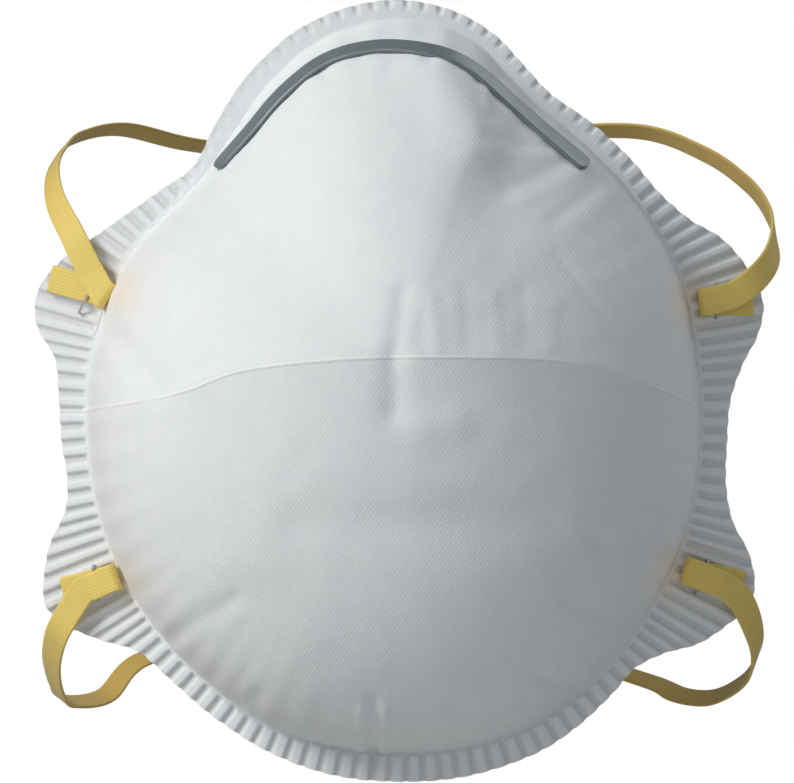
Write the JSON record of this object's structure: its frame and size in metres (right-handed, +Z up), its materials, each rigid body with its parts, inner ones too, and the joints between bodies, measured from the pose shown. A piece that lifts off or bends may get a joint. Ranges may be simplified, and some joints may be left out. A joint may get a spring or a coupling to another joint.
{
  "type": "disposable dust mask",
  "caption": "Moulded cup dust mask with a crimped flat rim, a bendable nose clip, a nose foam and two elastic head straps stapled to its tabs.",
  "frame": {"origin": "on the wearer's midline, at the face side of the rim, half way up the mask", "axes": "+Z up, -Y away from the face, +X to the right as seen from in front"},
  "size_m": [0.1418, 0.1198, 0.1456],
  "materials": {
    "cover_fabric": "matte nonwoven",
    "filter_fabric": "matte meltblown web",
    "shell_fabric": "stiff moulded felt",
    "lining_fabric": "soft nonwoven",
    "nose_metal": "satin",
    "foam": "open-cell foam",
    "elastic": "matte",
    "staple_wire": "bright wire"
  },
  "bodies": {
    "mask": {"outer_cover": "cover_fabric", "filter_web": "filter_fabric", "support_shell": "shell_fabric", "inner_lining": "lining_fabric", "nose_clip": "nose_metal", "nose_foam": "foam", "strap_end_upper_left": "elastic", "strap_end_upper_right": "elastic", "strap_end_lower_left": "elastic", "strap_end_lower_right": "elastic", "staple_upper_left": "staple_wire", "staple_upper_right": "staple_wire", "staple_lower_left": "staple_wire", "staple_lower_right": "staple_wire"},
    "upper_loop": {"upper_strap": "elastic"},
    "lower_loop": {"lower_strap": "elastic"}
  },
  "joints": [
    {"name": "upper_strap_swing", "type": "hinge", "parent": "mask", "child": "upper_loop", "pos_m": [0.00295, 0.00769, 0.02737], "axis": [0.9979, 0.013, -0.0638], "range_deg": [-25, 35]},
    {"name": "lower_strap_swing", "type": "hinge", "parent": "mask", "child": "lower_loop", "pos_m": [0.00108, 0.00793, -0.04518], "axis": [0.9997, 0.0103, 0.0233], "range_deg": [-35, 25]}
  ]
}
